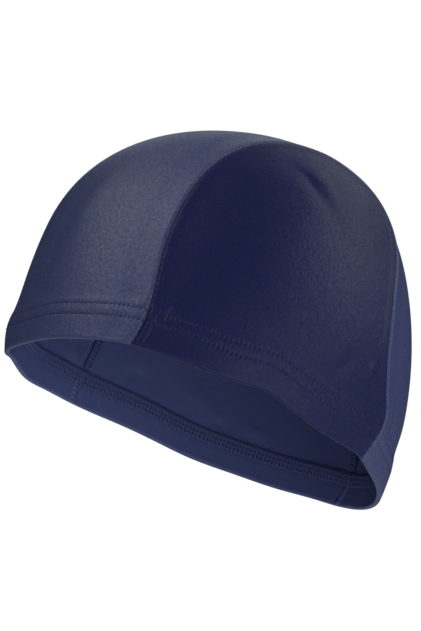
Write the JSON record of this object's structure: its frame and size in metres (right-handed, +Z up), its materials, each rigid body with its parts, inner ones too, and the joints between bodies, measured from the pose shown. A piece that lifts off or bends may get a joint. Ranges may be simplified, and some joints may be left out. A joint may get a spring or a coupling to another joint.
{
  "type": "swim cap",
  "caption": "Three-panel stretch-knit swim cap in its worn form, with a centre strip, two side panels, inside seams and a folded hem.",
  "frame": {"origin": "middle of the head opening, where the cap sits on a head", "axes": "+Z up in the worn attitude, -Y towards the forehead, +Y towards the nape, +X towards the wearer's left; the opening slopes down to the nape by 22.4 degrees"},
  "size_m": [0.1556, 0.1846, 0.1697],
  "materials": {
    "knit": "satin navy stretch knit",
    "seam": "matt navy sewn edge"
  },
  "bodies": {
    "root": {"centre_panel": "knit", "left_panel": "knit", "right_panel": "knit", "left_seam": "seam", "right_seam": "seam"}
  },
  "joints": []
}
